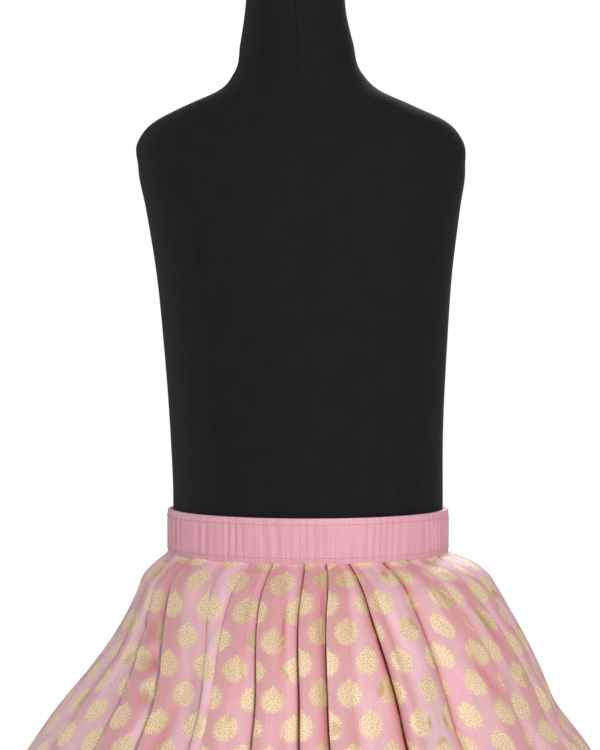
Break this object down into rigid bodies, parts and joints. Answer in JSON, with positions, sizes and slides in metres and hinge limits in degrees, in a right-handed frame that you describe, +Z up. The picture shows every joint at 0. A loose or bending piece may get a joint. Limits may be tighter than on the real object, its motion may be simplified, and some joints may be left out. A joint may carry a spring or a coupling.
{
  "type": "lehenga skirt on a limbless dress form",
  "caption": "Child's pleated lehenga skirt in pink silk brocade with a plain waistband, worn by a black limbless dress form on a pole and round foot.",
  "frame": {"origin": "centre of the underside of the round foot", "axes": "+Z up, +X to the right in the picture, which looks along +Y at the back of the skirt"},
  "size_m": [0.9599, 0.9288, 1.1153],
  "materials": {
    "skirt_back_left": "semi-sheer silk brocade with gold thread figures",
    "skirt_back_right": "semi-sheer silk brocade with gold thread figures",
    "skirt_front_right": "semi-sheer silk brocade with gold thread figures",
    "skirt_front_left": "semi-sheer silk brocade with gold thread figures",
    "waistband": "plain woven silk casing over elastic",
    "form_body": "black jersey stretched over a moulded form",
    "neck_cap": "black moulded cap",
    "stand_pole": "chromed tube",
    "stand_base": "black enamel"
  },
  "bodies": {
    "root": {"skirt_back_left": "skirt_back_left", "skirt_back_right": "skirt_back_right", "skirt_front_right": "skirt_front_right", "skirt_front_left": "skirt_front_left", "waistband": "waistband", "form_body": "form_body", "neck_cap": "neck_cap", "stand_pole": "stand_pole", "stand_base": "stand_base"}
  },
  "joints": []
}
